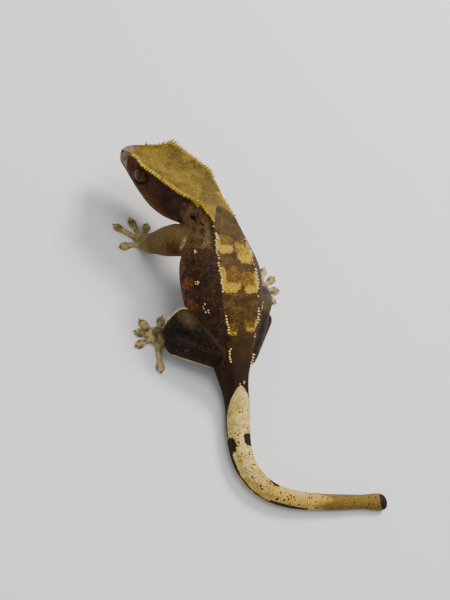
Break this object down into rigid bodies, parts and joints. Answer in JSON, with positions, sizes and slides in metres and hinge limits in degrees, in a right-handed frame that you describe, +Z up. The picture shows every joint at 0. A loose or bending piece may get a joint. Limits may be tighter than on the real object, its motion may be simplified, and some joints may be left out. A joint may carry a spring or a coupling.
{
  "type": "crested gecko",
  "caption": "Crested gecko as a still life-size model, standing with its head turned left and its tail curved on the floor.",
  "frame": {"origin": "bottom centre of the bounding box, on the floor the animal stands on", "axes": "+Z up; the trunk points toward +Y and the tail end toward +X; the animal's left side is toward -X"},
  "size_m": [0.0844, 0.1222, 0.0283],
  "materials": {
    "skin_cap": "fine granular scales, satin",
    "skin_olive": "fine granular scales, satin",
    "skin_brown": "fine granular scales, satin",
    "skin_dark": "fine granular scales, satin",
    "skin_cream": "rings of small square scales, satin",
    "skin_gold": "rings of small square scales, satin",
    "eye": "wet gloss"
  },
  "bodies": {
    "root": {"head": "skin_cap", "neck": "skin_olive", "torso_front": "skin_brown", "torso_rear": "skin_brown", "tail_base": "skin_cream", "tail_middle": "skin_cream", "tail_end": "skin_gold", "eye_left": "eye", "eye_right": "eye", "left_upper_arm": "skin_olive", "left_forearm": "skin_olive", "left_hand": "skin_olive", "right_upper_arm": "skin_olive", "right_forearm": "skin_olive", "right_hand": "skin_olive", "left_thigh": "skin_dark", "left_shank": "skin_dark", "left_foot": "skin_dark", "right_thigh": "skin_dark", "right_shank": "skin_dark", "right_foot": "skin_dark"}
  },
  "joints": []
}
